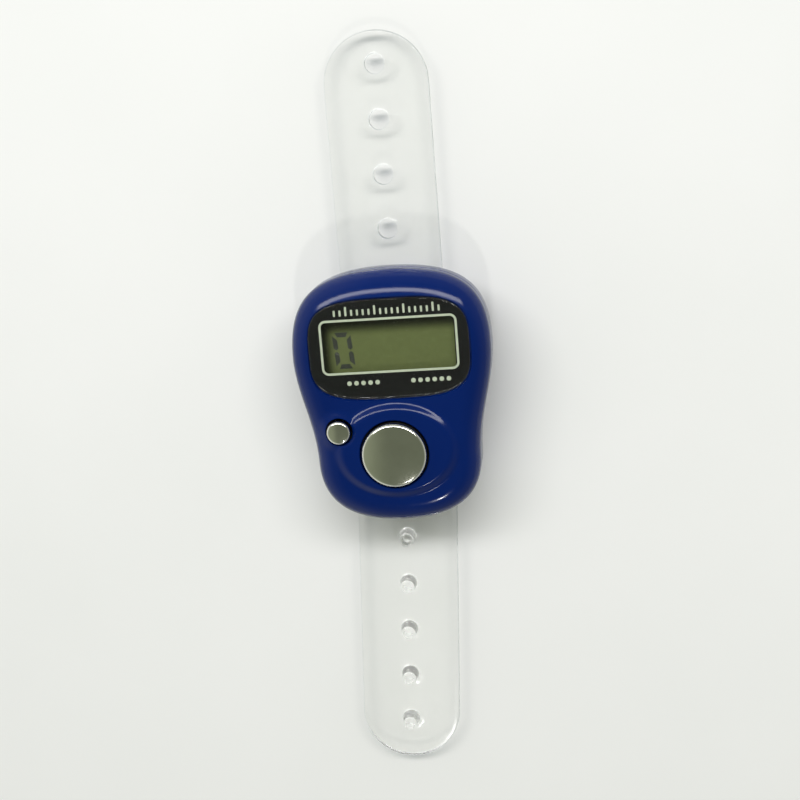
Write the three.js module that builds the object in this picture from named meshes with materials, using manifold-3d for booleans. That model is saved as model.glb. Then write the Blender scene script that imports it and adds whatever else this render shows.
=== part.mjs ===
// Electronic row counter that straps to a finger: a two-part plastic case with a display
// window, a large count key and a small reset key, and a clear strap with holes and pegs.
//
// Millimetres, +Z up. The counter lies on its back with its display facing up. The origin is
// on the surface it rests on, under the middle of the strap. +Y runs along the strap from
// the peg end to the hole end, and +X is to the right of the display.
import * as THREE from 'three';
import { mergeVertices } from 'three/addons/utils/BufferGeometryUtils.js';
import Module from 'manifold-3d';

const wasm = await Module();
wasm.setup();

// ---------------------------------------------------------------- driving dimensions
const CASE_HALF_LENGTH = 20;
const CASE_HALF_WIDTH = 15.6; // at the display end
const WAIST_HALF_WIDTH = 12.9; // at the key end
const CASE_CENTRE_Y = 4.5; // the case sits off the middle of the strap
const CASE_WALL = 1.3;
const RUNNING_GAP = 0.3; // between pieces that touch or slide
const STACK_GAP = 0.1; // between flat layers clamped together

const STRAP_LENGTH = 121;
const STRAP_WIDTH = 16;
const STRAP_THICKNESS = 1.4;
const STRAP_BEND = THREE.MathUtils.degToRad(-3.3); // set in the peg end, in the plane of the strap

// Heights, from the surface up.
const BAR_TOP = 1.0;
const STRAP_BOTTOM = BAR_TOP + RUNNING_GAP;
const STRAP_TOP = STRAP_BOTTOM + STRAP_THICKNESS;
const CASE_BACK = STRAP_TOP + RUNNING_GAP;
const CASE_FLOOR = CASE_BACK + 1.2;
const PARTING_LINE = 7.6;
const BOARD_BOTTOM = 8.2;
const BOARD_TOP = 9.0;
const FACE_INSIDE = 11.5;
const LEDGE_BOTTOM = 11.3;
const WINDOW_SEAT = 12.1;
const CASE_FACE = 13.1;

// Display window and what lies behind it, about the display's centre.
const WINDOW_CENTRE_Y = 8.1;
const WINDOW_HALF_WIDTH = 12.6;
const WINDOW_HALF_HEIGHT = 7.95;
const WINDOW_ROUNDNESS = 3.6; // exponent of the superellipse
const DISPLAY_CENTRE_Y = 8.8;
const DISPLAY_WIDTH = 20.4;
const DISPLAY_HEIGHT = 8;

// Keys.
const COUNT_KEY = { x: -0.35, y: -8.55, radius: 5.1, flange: 6.1, top: 14.8, hole: 5.5 };
const RESET_KEY = { x: -8.8, y: -4.6, radius: 1.85, flange: 2.45, top: 14.4, hole: 2.2 };
const FLANGE_BOTTOM = 10.7;
const FLANGE_TOP = 11.3;
const KEY_PADS = [
  { x: 0, y: -8.2, halfWidth: 10, halfHeight: 7.6, height: 0.6 },
  { x: RESET_KEY.x, y: RESET_KEY.y, halfWidth: 3.2, halfHeight: 3.2, height: 0.4 },
];

// Battery: a standard 11.6 mm x 3.05 mm button cell.
const CELL_RADIUS = 5.8;
const CELL_HEIGHT = 3.05;
const CELL_BOTTOM = CASE_FLOOR + RUNNING_GAP;
const DOOR_RADIUS = 7.2;
const DOOR_SKIRT_TOP = CASE_FLOOR + 1.2;
const LUG_REACH = 8.6;

// Screws.
const CASE_SCREWS = [
  [-13.1, 8],
  [13.1, 8],
  [-10.3, -9],
  [10.3, -9],
];
const BOARD_SCREWS = [
  [7.8, -3],
  [-5.5, -15],
];
const SCREW_SHANK = 0.75;
const SCREW_HEAD = 1.3;

// Strap bars under the case, and the strap's holes, pegs and bend lines.
const BAR_OFFSET = 14;
const BAR_HALF_LENGTH = 1.5;
const POST_INSIDE = STRAP_WIDTH / 2 + 0.5;
const POST_OUTSIDE = POST_INSIDE + 1.5;
const HOLE_RADIUS = 1.55;
const HOLE_PITCH = 8.5;
const HOLE_COUNT = 4;
const FIRST_HOLE = STRAP_LENGTH / 2 - 5.1; // the hole nearest the tip
const PEG_PITCH = 8.1;
const PEG_COUNT = 5;
const FIRST_PEG = STRAP_LENGTH / 2 - 7.2; // distance of the outermost peg from the origin
const PEG_HEIGHT = 2.5;
const HOLE_BEND_LINES = [CASE_CENTRE_Y + 21.4, CASE_CENTRE_Y + 38.1];
const PEG_BEND_LINES = [21.4 - CASE_CENTRE_Y, 37.6 - CASE_CENTRE_Y]; // below the origin

// ---------------------------------------------------------------- materials
function finish(color, roughness, metalness = 0) {
  return new THREE.MeshStandardMaterial({ color, roughness, metalness });
}
const BLUE = finish(0x06308f, 0.22);
const CHROME = finish(0xc9c8be, 0.08, 1);
const BLACK_GLOSS = finish(0x0b0c0e, 0.1);
const PRINT = finish(0x08090a, 0.5);
const GLASS = finish(0x8f9a7c, 0.1);
const FILM = finish(0x7d8560, 0.4);
const FOAM = finish(0x2c2c2e, 0.95);
const ZEBRA = finish(0xc9a9a4, 0.7);
const BOARD = finish(0x1f6b3a, 0.45);
const EPOXY = finish(0x101012, 0.35);
const CERAMIC = finish(0xb59a72, 0.5);
const RESISTOR = finish(0x1a1a1c, 0.5);
const SILICONE = finish(0xd9d6cc, 0.6);
const CARBON = finish(0x17171a, 0.8);
const STEEL = finish(0xb9bbbd, 0.25, 1);
const GASKET = finish(0xdfe3e6, 0.5);
const SPRING_STEEL = finish(0xcfc7a8, 0.3, 1);
const CLEAR = finish(0xe4eae4, 0.12);

// ---------------------------------------------------------------- solids
/** A closed three.js geometry as a manifold solid, with its faces pointing out. */
function solidOf(geometry) {
  const bare = geometry.clone();
  bare.deleteAttribute('normal');
  bare.deleteAttribute('uv');
  const merged = mergeVertices(bare, 1e-4);
  const position = merged.getAttribute('position');
  const index = merged.getIndex().array;
  const corner = [new THREE.Vector3(), new THREE.Vector3(), new THREE.Vector3()];
  const triangles = [];
  let volume = 0;
  for (let i = 0; i < index.length; i += 3) {
    const [a, b, c] = [index[i], index[i + 1], index[i + 2]];
    if (a === b || b === c || c === a) continue;
    triangles.push([a, b, c]);
    [a, b, c].forEach((vertex, k) => corner[k].fromBufferAttribute(position, vertex));
    volume += corner[0].dot(corner[1].clone().cross(corner[2]));
  }
  if (volume < 0) triangles.forEach((triangle) => triangle.reverse());
  return new wasm.Manifold(
    new wasm.Mesh({
      numProp: 3,
      vertProperties: new Float32Array(position.array),
      triVerts: new Uint32Array(triangles.flat()),
    }),
  );
}

/** A named mesh of a manifold solid. */
function piece(name, solid, material) {
  const cut = solid.getMesh();
  const geometry = new THREE.BufferGeometry();
  geometry.setAttribute('position', new THREE.BufferAttribute(new Float32Array(cut.vertProperties), 3));
  geometry.setIndex(new THREE.BufferAttribute(new Uint32Array(cut.triVerts), 1));
  geometry.computeVertexNormals();
  const mesh = new THREE.Mesh(geometry, material);
  mesh.name = name;
  return mesh;
}

function joined(...solids) {
  return solids.reduce((whole, next) => whole.add(next));
}

function box(x0, x1, y0, y1, z0, z1) {
  const geometry = new THREE.BoxGeometry(x1 - x0, y1 - y0, z1 - z0);
  return solidOf(geometry.translate((x0 + x1) / 2, (y0 + y1) / 2, (z0 + z1) / 2));
}

function disc(x, y, radius, z0, z1, sides = 32) {
  const geometry = new THREE.CylinderGeometry(radius, radius, z1 - z0, sides);
  return solidOf(geometry.rotateX(Math.PI / 2).translate(x, y, (z0 + z1) / 2));
}

/** A solid of revolution about the vertical through (x, y), from [radius, z] pairs. */
function turned(x, y, profile, sides = 28) {
  const points = profile.map(([radius, z]) => new THREE.Vector2(radius, z));
  const closed = profile[0][0] === 0 ? points : [...points, points[0].clone()];
  const geometry = new THREE.LatheGeometry(closed, sides);
  return solidOf(geometry.rotateX(Math.PI / 2).translate(x, y, 0));
}

/** An outline pushed up from z0 to z1, with its upper and lower edges rounded off by edge. */
function slab(outline, z0, z1, edge = 0) {
  const geometry = new THREE.ExtrudeGeometry(new THREE.Shape(outline), {
    depth: z1 - z0 - 2 * edge,
    bevelEnabled: edge > 0,
    bevelThickness: edge,
    bevelSize: edge,
    bevelOffset: -edge,
    bevelSegments: 3,
    curveSegments: 1,
  });
  return solidOf(geometry.translate(0, 0, z0 + edge));
}

// ---------------------------------------------------------------- outlines
/** Moves each point of a closed anticlockwise outline inwards by a distance. */
function inset(outline, distance) {
  return outline.map((point, i) => {
    const before = outline.at(i - 1);
    const after = outline[(i + 1) % outline.length];
    const along = after.clone().sub(before).normalize();
    return new THREE.Vector2(point.x - along.y * distance, point.y + along.x * distance);
  });
}

/** The case from the front: a broad display end, a waist and a narrower key end. */
function caseOutline() {
  const half = new THREE.CurvePath();
  const corner = (x, y) => new THREE.Vector2(x, y);
  const shoulderY = 7.5;
  const hipY = -10;
  half.add(
    new THREE.CubicBezierCurve(
      corner(0, -CASE_HALF_LENGTH),
      corner(8.4, -CASE_HALF_LENGTH),
      corner(WAIST_HALF_WIDTH, -16.8),
      corner(WAIST_HALF_WIDTH, hipY),
    ),
  );
  half.add(
    new THREE.CubicBezierCurve(
      corner(WAIST_HALF_WIDTH, hipY),
      corner(WAIST_HALF_WIDTH + 0.1, -3),
      corner(CASE_HALF_WIDTH, 1),
      corner(CASE_HALF_WIDTH, shoulderY),
    ),
  );
  half.add(
    new THREE.CubicBezierCurve(
      corner(CASE_HALF_WIDTH, shoulderY),
      corner(CASE_HALF_WIDTH, 16),
      corner(11.8, CASE_HALF_LENGTH),
      corner(0, CASE_HALF_LENGTH),
    ),
  );
  const right = half.curves.flatMap((curve) => curve.getPoints(9).slice(1));
  const left = right.slice(0, -1).map((point) => corner(-point.x, point.y));
  return [corner(0, -CASE_HALF_LENGTH), ...right, ...left.reverse()];
}

/** A superellipse, anticlockwise, about (0, y). */
function superellipse(y, halfWidth, halfHeight, exponent, steps = 44) {
  const points = [];
  for (let i = 0; i < steps; i += 1) {
    const angle = (2 * Math.PI * i) / steps;
    const [c, s] = [Math.cos(angle), Math.sin(angle)];
    const radius = (Math.abs(c) ** exponent + Math.abs(s) ** exponent) ** (-1 / exponent);
    points.push(new THREE.Vector2(halfWidth * radius * c, y + halfHeight * radius * s));
  }
  return points;
}

const CASE_OUTLINE = caseOutline();
const windowOutline = (margin) =>
  superellipse(
    WINDOW_CENTRE_Y,
    WINDOW_HALF_WIDTH + margin,
    WINDOW_HALF_HEIGHT + margin,
    WINDOW_ROUNDNESS,
  );

// ---------------------------------------------------------------- case
/** A low oval pad with sloping sides that stands on the case's face round a key. */
function keyPad({ x, y, halfWidth, halfHeight, height }) {
  const slope = 1.1;
  const root = -1.2;
  const shoulder = 1 - slope / halfWidth;
  const profile = [
    [0, root],
    [1, root],
    [1, 0],
    [shoulder, height],
    [0, height],
  ];
  const geometry = new THREE.LatheGeometry(
    profile.map(([radius, z]) => new THREE.Vector2(radius, z)),
    36,
  );
  geometry.rotateX(Math.PI / 2);
  geometry.scale(halfWidth, halfHeight, 1);
  return solidOf(geometry.translate(x, y, CASE_FACE));
}

function frontCase() {
  const outside = slab(CASE_OUTLINE, 1, CASE_FACE, 2.7);
  const inside = slab(inset(CASE_OUTLINE, CASE_WALL), 1, FACE_INSIDE, 1);
  const below = box(-20, 20, -25, 25, 0, PARTING_LINE + RUNNING_GAP);
  let shell = outside.subtract(inside);
  const displayFrame = box(
    -DISPLAY_WIDTH / 2 - 3.2,
    DISPLAY_WIDTH / 2 + 3.2,
    WINDOW_CENTRE_Y - 7,
    WINDOW_CENTRE_Y + 7.6,
    LEDGE_BOTTOM,
    FACE_INSIDE + RUNNING_GAP,
  );
  shell = shell.add(displayFrame);
  for (const [x, y] of CASE_SCREWS) {
    shell = shell.add(disc(x, y, 1.7, PARTING_LINE + RUNNING_GAP, FACE_INSIDE + 0.4, 20));
  }
  for (const [x, y] of BOARD_SCREWS) {
    shell = shell.add(disc(x, y, 1.6, BOARD_TOP + RUNNING_GAP, FACE_INSIDE + 0.2, 20));
  }
  shell = shell.intersect(slab(CASE_OUTLINE, 1, CASE_FACE, 2.7));
  for (const pad of KEY_PADS) {
    shell = shell.add(keyPad(pad));
  }
  shell = shell.subtract(below);
  shell = shell.subtract(slab(windowOutline(0.15), WINDOW_SEAT, CASE_FACE + 1));
  shell = shell.subtract(
    box(
      -DISPLAY_WIDTH / 2 - 0.4,
      DISPLAY_WIDTH / 2 + 0.4,
      DISPLAY_CENTRE_Y - DISPLAY_HEIGHT / 2 - 0.4,
      DISPLAY_CENTRE_Y + DISPLAY_HEIGHT / 2 + 0.4,
      LEDGE_BOTTOM - 1,
      CASE_FACE,
    ),
  );
  for (const key of [COUNT_KEY, RESET_KEY]) {
    shell = shell.subtract(disc(key.x, key.y, key.hole, FACE_INSIDE - 2, CASE_FACE + 1, 32));
  }
  for (const [x, y] of CASE_SCREWS) {
    shell = shell.subtract(disc(x, y, SCREW_SHANK + RUNNING_GAP, 5, 10.6, 16));
  }
  for (const [x, y] of BOARD_SCREWS) {
    shell = shell.subtract(disc(x, y, SCREW_SHANK + RUNNING_GAP, 5, 11.2, 16));
  }
  return piece('front_case', shell, BLUE);
}

/** One strap bar across the back, with the two posts that carry it. */
function strapBar(y) {
  const [y0, y1] = [y - BAR_HALF_LENGTH, y + BAR_HALF_LENGTH];
  const postTop = CASE_BACK + 1.1;
  return joined(
    box(-POST_OUTSIDE, POST_OUTSIDE, y0, y1, 0, BAR_TOP),
    box(-POST_OUTSIDE, -POST_INSIDE, y0, y1, 0, postTop),
    box(POST_INSIDE, POST_OUTSIDE, y0, y1, 0, postTop),
  );
}

function rearCase() {
  const above = box(-20, 20, -25, 25, PARTING_LINE, 20);
  let shell = slab(CASE_OUTLINE, CASE_BACK, 14, 2.2);
  shell = shell.subtract(slab(inset(CASE_OUTLINE, CASE_WALL), CASE_FLOOR, 16, 1.2));
  for (const [x, y] of CASE_SCREWS) {
    shell = shell.add(disc(x, y, 1.9, CASE_BACK + 0.6, PARTING_LINE, 20));
  }
  shell = shell.intersect(slab(CASE_OUTLINE, CASE_BACK, 14, 2.2));
  shell = shell.subtract(above);
  shell = joined(shell, strapBar(BAR_OFFSET), strapBar(-BAR_OFFSET));
  for (const [x, y] of CASE_SCREWS) {
    shell = shell.subtract(disc(x, y, SCREW_SHANK + RUNNING_GAP, 2, 9, 16));
    shell = shell.subtract(disc(x, y, SCREW_HEAD + RUNNING_GAP, 2, CASE_BACK + 1.5, 20));
  }
  const [cutBottom, cutTop] = [CASE_BACK - 0.5, CASE_FLOOR + 0.5];
  shell = shell.subtract(disc(0, 0, DOOR_RADIUS + RUNNING_GAP, cutBottom, cutTop, 32));
  const notchReach = LUG_REACH + RUNNING_GAP;
  const notch = box(-notchReach, notchReach, -1.6, 1.6, cutBottom, cutTop);
  const turnedNotch = notch.rotate([0, 0, 45]);
  shell = shell.subtract(turnedNotch);
  return piece('rear_case', shell, BLUE);
}

function screw(name, x, y, headBottom, length, material) {
  const headTop = headBottom + 0.9;
  const slot = box(x - SCREW_HEAD, x + SCREW_HEAD, y - 0.2, y + 0.2, headBottom - 1, headBottom + 0.45);
  const solid = joined(
    disc(x, y, SCREW_HEAD, headBottom, headTop, 20),
    disc(x, y, SCREW_SHANK, headTop - 0.1, headBottom + length, 12),
  );
  return piece(name, solid.subtract(slot), material);
}

function batteryDoor() {
  const lug = (side) => {
    const [x0, x1] = side > 0 ? [6.6, LUG_REACH] : [-LUG_REACH, -6.6];
    return box(x0, x1, -1.3, 1.3, CASE_FLOOR + RUNNING_GAP, DOOR_SKIRT_TOP);
  };
  const coinSlot = box(-4.6, 4.6, -0.7, 0.7, CASE_BACK - 0.5, CASE_BACK + 0.6);
  const door = joined(
    disc(0, 0, DOOR_RADIUS, CASE_BACK, CASE_FLOOR, 32),
    disc(0, 0, 7.1, CASE_FLOOR - 0.1, DOOR_SKIRT_TOP, 32).subtract(
      disc(0, 0, CELL_RADIUS + RUNNING_GAP, CASE_FLOOR, DOOR_SKIRT_TOP + 1, 32),
    ),
    lug(1),
    lug(-1),
  );
  return piece('battery_door', door.subtract(coinSlot), BLUE);
}

// ---------------------------------------------------------------- window and display
function displayWindow() {
  return piece('display_window', slab(windowOutline(-0.15), 12.35, CASE_FACE + 0.1), BLACK_GLOSS);
}

function windowPrint() {
  const sheet = slab(windowOutline(-0.4), WINDOW_SEAT + 0.05, WINDOW_SEAT + 0.15);
  const clearArea = box(
    -DISPLAY_WIDTH / 2,
    DISPLAY_WIDTH / 2,
    DISPLAY_CENTRE_Y - DISPLAY_HEIGHT / 2,
    DISPLAY_CENTRE_Y + DISPLAY_HEIGHT / 2,
    WINDOW_SEAT - 1,
    WINDOW_SEAT + 1,
  );
  return piece('window_print', sheet.subtract(clearArea), PRINT);
}

/** The display's flat layers, from the foam on the board up to the front polariser. */
function displayStack() {
  const glassHalf = DISPLAY_WIDTH / 2 + 0.8;
  const low = DISPLAY_CENTRE_Y - DISPLAY_HEIGHT / 2 - 1.2;
  const rearHigh = DISPLAY_CENTRE_Y + DISPLAY_HEIGHT / 2 + 0.8;
  const frontHigh = rearHigh + 1.6;
  const layer = (name, high, z0, z1, margin, material) =>
    piece(name, box(-glassHalf + margin, glassHalf - margin, low + margin, high - margin, z0, z1), material);
  return [
    layer('lcd_foam_pad', rearHigh, BOARD_TOP + STACK_GAP, 9.6, 1, FOAM),
    layer('lcd_rear_reflector', rearHigh, 9.7, 9.82, 0.4, FILM),
    layer('lcd_rear_glass', rearHigh, 9.9, 10.4, 0, GLASS),
    layer('lcd_front_glass', frontHigh, 10.48, 10.98, 0, GLASS),
    layer('lcd_front_polariser', rearHigh, 11.06, 11.2, 0.5, FILM),
    piece(
      'zebra_connector',
      box(-glassHalf + 1, glassHalf - 1, rearHigh + 0.3, frontHigh - 0.1, BOARD_TOP + 0.05, 10.43),
      ZEBRA,
    ),
  ];
}

// ---------------------------------------------------------------- keys
/** A plated key: a flange under the case face, a barrel and a slightly domed top. */
function key(name, { x, y, radius, flange, top }, post) {
  const edge = 0.35 * Math.min(radius, 1.5);
  const crown = 0.03 * radius;
  const profile = [
    [0, FLANGE_BOTTOM],
    [post, FLANGE_BOTTOM],
    [post, FLANGE_TOP + 0.4],
    [radius * 0.8, FLANGE_TOP + 0.4],
    [radius * 0.8, FLANGE_BOTTOM],
    [flange, FLANGE_BOTTOM],
    [flange, FLANGE_TOP],
    [radius, FLANGE_TOP],
    [radius, top - edge],
  ];
  for (const angle of [30, 60, 90]) {
    const turn = THREE.MathUtils.degToRad(angle);
    profile.push([radius - edge * (1 - Math.cos(turn)), top - edge * (1 - Math.sin(turn))]);
  }
  profile.push([radius * 0.5, top + crown * 0.75], [0, top + crown]);
  return piece(name, turned(x, y, profile, 32), CHROME);
}

/** A rubber dome that lifts a key, open underneath. */
function dome(name, { x, y }, foot, crown) {
  const wall = 0.25;
  const [bottom, rim, top] = [BOARD_TOP + 0.05, BOARD_TOP + 0.4, FLANGE_BOTTOM - 0.05];
  const profile = [
    [foot, bottom],
    [foot, rim],
    [foot - 0.5, rim],
    [crown, top - 0.05],
    [crown * 0.8, top],
    [0, top],
    [0, top - wall],
    [crown * 0.8, top - wall],
    [foot - 0.8, bottom],
  ];
  return piece(name, turned(x, y, [...profile.slice(5), ...profile.slice(0, 5)].reverse(), 20), SILICONE);
}

function contactPill(name, { x, y }, radius) {
  return piece(name, disc(x, y, radius, 10.0, 10.3, 20), CARBON);
}

// ---------------------------------------------------------------- board and battery
function circuitBoard() {
  let board = slab(inset(CASE_OUTLINE, CASE_WALL + 0.8), BOARD_BOTTOM, BOARD_TOP);
  for (const [x, y] of CASE_SCREWS) {
    board = board.subtract(disc(x, y, 2.2, BOARD_BOTTOM - 1, BOARD_TOP + 1, 20));
  }
  for (const [x, y] of CASE_SCREWS) {
    const side = Math.sign(x);
    const [near, far] = [x, x + side * 6];
    const edge = [Math.min(near, far), Math.max(near, far)];
    board = board.subtract(box(edge[0], edge[1], y - 2.2, y + 2.2, BOARD_BOTTOM - 1, BOARD_TOP + 1));
  }
  for (const [x, y] of BOARD_SCREWS) {
    board = board.subtract(disc(x, y, SCREW_SHANK + RUNNING_GAP, BOARD_BOTTOM - 1, BOARD_TOP + 1, 16));
  }
  return piece('circuit_board', board, BOARD);
}

function chipBlob() {
  const radius = 3.1;
  const height = 1.1;
  const profile = [[0, BOARD_BOTTOM - 0.05]];
  for (const share of [0, 0.35, 0.65, 0.88]) {
    const z = BOARD_BOTTOM - 0.05 - height * Math.sqrt(1 - (1 - share) ** 2);
    profile.push([radius * (1 - share), z]);
  }
  profile.push([0, BOARD_BOTTOM - 0.05 - height]);
  return piece('chip_blob', turned(0, 10.8, profile, 28), EPOXY);
}

function boardChip(name, x, y, length, material) {
  const chip = box(x - length / 2, x + length / 2, y - 0.6, y + 0.6, 7.5, BOARD_BOTTOM - 0.05);
  return piece(name, chip, material);
}

/** The button cell: a steel can, its negative cap and the gasket ring between them. */
function cell() {
  const capBottom = CELL_BOTTOM + 1.6;
  const capTop = CELL_BOTTOM + CELL_HEIGHT;
  const shoulder = capTop - 0.35;
  const can = turned(0, 0, [
    [0, CELL_BOTTOM],
    [CELL_RADIUS, CELL_BOTTOM],
    [CELL_RADIUS, shoulder],
    [CELL_RADIUS - 0.35, shoulder],
    [CELL_RADIUS - 0.35, CELL_BOTTOM + 1.2],
    [0, CELL_BOTTOM + 1.2],
  ]);
  const gasket = turned(0, 0, [
    [CELL_RADIUS - 0.75, capBottom],
    [CELL_RADIUS - 0.45, capBottom],
    [CELL_RADIUS - 0.45, shoulder],
    [CELL_RADIUS - 0.75, shoulder],
  ]);
  const cap = turned(0, 0, [
    [0, capBottom],
    [CELL_RADIUS - 0.85, capBottom],
    [CELL_RADIUS - 0.85, shoulder],
    [CELL_RADIUS - 1.2, capTop],
    [0, capTop],
  ]);
  return [
    piece('battery_can', can, STEEL),
    piece('battery_gasket', gasket, GASKET),
    piece('battery_cap', cap, STEEL),
  ];
}

/** A bent leaf spring: an outline in the XZ plane, as wide along Y as given. */
function leaf(name, outline, width) {
  const geometry = new THREE.ExtrudeGeometry(
    new THREE.Shape(outline.map(([x, z]) => new THREE.Vector2(x, z))),
    { depth: width, bevelEnabled: false },
  );
  geometry.rotateX(Math.PI / 2).translate(0, width / 2, 0);
  return piece(name, solidOf(geometry), SPRING_STEEL);
}

function contacts() {
  const thickness = 0.2;
  const foot = BOARD_BOTTOM - 0.1;
  const side = CELL_RADIUS + 0.3;
  const tip = CELL_BOTTOM + CELL_HEIGHT + 0.08;
  const positive = leaf(
    'positive_contact',
    [
      [side, DOOR_SKIRT_TOP + 0.3],
      [side + thickness, DOOR_SKIRT_TOP + 0.3],
      [side + thickness, foot - thickness],
      [side + 2.4, foot - thickness],
      [side + 2.4, foot],
      [side, foot],
    ],
    2.4,
  );
  const negative = leaf(
    'negative_contact',
    [
      [-7, foot - thickness],
      [-4.6, foot - thickness],
      [-0.6, tip],
      [1.6, tip],
      [2.4, tip + 0.25],
      [2.4, tip + 0.45],
      [1.6, tip + thickness],
      [-0.6, tip + thickness],
      [-4.6, foot],
      [-7, foot],
    ],
    2,
  );
  return [positive, negative];
}

// ---------------------------------------------------------------- strap
/** A stretch of strap along +Y between two distances, its far end round where it is a tip. */
function stretch(from, to, round) {
  const half = STRAP_WIDTH / 2;
  const outline = [new THREE.Vector2(-half, from), new THREE.Vector2(half, from)];
  if (round) {
    const steps = 24;
    for (let i = 0; i <= steps; i += 1) {
      const angle = (Math.PI * i) / steps;
      outline.push(new THREE.Vector2(half * Math.cos(angle), to - half + half * Math.sin(angle)));
    }
  } else {
    outline.push(new THREE.Vector2(half, to), new THREE.Vector2(-half, to));
  }
  return slab(outline, STRAP_BOTTOM, STRAP_TOP);
}

/** The places of a row that starts at the outermost one and lie between two distances. */
function placesWithin(first, pitch, count, from, to) {
  return Array.from({ length: count }, (_, i) => first - pitch * i).filter((at) => at > from && at < to);
}

function holeStretch(name, from, to, round) {
  let solid = stretch(from, to, round);
  for (const at of placesWithin(FIRST_HOLE, HOLE_PITCH, HOLE_COUNT, from, to)) {
    solid = solid.subtract(disc(0, at, HOLE_RADIUS, 0, 5, 28));
  }
  return piece(name, solid, CLEAR);
}

/** A tapered peg with a conical dimple in its tip, standing on the strap at (0, at). */
function peg(at) {
  const profile = [
    [0, STRAP_TOP - 0.3],
    [1.45, STRAP_TOP - 0.3],
    [1.35, STRAP_TOP + 0.2],
    [1.15, STRAP_TOP + PEG_HEIGHT - 0.15],
    [1.0, STRAP_TOP + PEG_HEIGHT],
    [0.8, STRAP_TOP + PEG_HEIGHT],
    [0, STRAP_TOP + PEG_HEIGHT - 0.9],
  ];
  return turned(0, at, profile, 12);
}

/** A stretch of the peg end, built along +Y and then turned to run the other way. */
function pegStretch(name, from, to, round) {
  let solid = stretch(from, to, round);
  for (const at of placesWithin(FIRST_PEG, PEG_PITCH, PEG_COUNT, from, to)) {
    solid = solid.add(peg(at));
  }
  return piece(name, solid, CLEAR);
}

/** Where the strap bends in its own plane: under the case's lower bar. */
const BEND_Y = CASE_CENTRE_Y - BAR_OFFSET;

/** The part of the strap under the case, with the bend in it. */
function strapMiddle() {
  const half = STRAP_WIDTH / 2;
  const halfBend = STRAP_BEND / 2;
  const mitre = new THREE.Vector2(half, half * Math.tan(halfBend));
  const top = HOLE_BEND_LINES[0] - RUNNING_GAP / 2;
  const reach = PEG_BEND_LINES[0] - RUNNING_GAP / 2 + BEND_Y;
  const [c, s] = [Math.cos(STRAP_BEND), Math.sin(STRAP_BEND)];
  const lower = (x) => new THREE.Vector2(x * c + reach * s, BEND_Y + x * s - reach * c);
  const outline = [
    lower(-half),
    lower(half),
    new THREE.Vector2(mitre.x, BEND_Y + mitre.y),
    new THREE.Vector2(half, top),
    new THREE.Vector2(-half, top),
    new THREE.Vector2(-mitre.x, BEND_Y - mitre.y),
  ];
  return piece('strap_middle', slab(outline, STRAP_BOTTOM, STRAP_TOP), CLEAR);
}

function holeEnd() {
  const [first, second] = HOLE_BEND_LINES;
  const gap = RUNNING_GAP / 2;
  const end = new THREE.Group();
  end.add(holeStretch('strap_hole_inner', first + gap, second - gap, false));
  end.add(holeStretch('strap_hole_outer', second + gap, STRAP_LENGTH / 2, true));
  return end;
}

function pegEnd() {
  const [first, second] = PEG_BEND_LINES;
  const gap = RUNNING_GAP / 2;
  const run = new THREE.Group();
  run.add(pegStretch('strap_peg_inner', first + gap, second - gap, false));
  run.add(pegStretch('strap_peg_outer', second + gap, STRAP_LENGTH / 2, true));
  run.rotation.z = Math.PI;
  run.position.y = -BEND_Y;
  const end = new THREE.Group();
  end.add(run);
  end.position.y = BEND_Y;
  end.rotation.z = STRAP_BEND;
  return end;
}

// ---------------------------------------------------------------- assembly
function caseAssembly() {
  const body = new THREE.Group();
  body.position.y = CASE_CENTRE_Y;
  body.add(frontCase(), rearCase(), displayWindow(), windowPrint(), ...displayStack());
  body.add(circuitBoard(), chipBlob());
  body.add(boardChip('board_capacitor', 6.2, 9.5, 2, CERAMIC));
  body.add(boardChip('board_resistor', -6.2, 9.5, 1.6, RESISTOR));
  body.add(key('count_button', COUNT_KEY, 1.6), dome('count_dome', COUNT_KEY, 3.8, 1.9));
  body.add(contactPill('count_contact_pill', COUNT_KEY, 1.1));
  body.add(key('reset_button', RESET_KEY, 0.8), dome('reset_dome', RESET_KEY, 2.3, 1.1));
  body.add(contactPill('reset_contact_pill', RESET_KEY, 0.6));
  body.add(...cell(), ...contacts(), batteryDoor());
  CASE_SCREWS.forEach(([x, y], i) => {
    body.add(screw(`case_screw_${i + 1}`, x, y, CASE_BACK + 0.3, 6.9, STEEL));
  });
  BOARD_SCREWS.forEach(([x, y], i) => {
    body.add(screw(`board_screw_${i + 1}`, x, y, BOARD_BOTTOM - 1, 3.7, STEEL));
  });
  return body;
}

const counter = new THREE.Group();
counter.add(caseAssembly(), strapMiddle(), holeEnd(), pegEnd());

export default counter;
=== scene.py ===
"""Electronic row counter with a clear finger strap, lying face up on a pale table.

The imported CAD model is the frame. The case shells, keys, window and strap are rebuilt here
as fine meshes; everything inside the case keeps its CAD shape and gets a material.
Lengths are millimetres until a mesh is made; lamps and the camera stand at metres.
"""

import math

import bmesh
import bpy
from mathutils import Matrix, Vector
from mathutils.geometry import delaunay_2d_cdt

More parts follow.
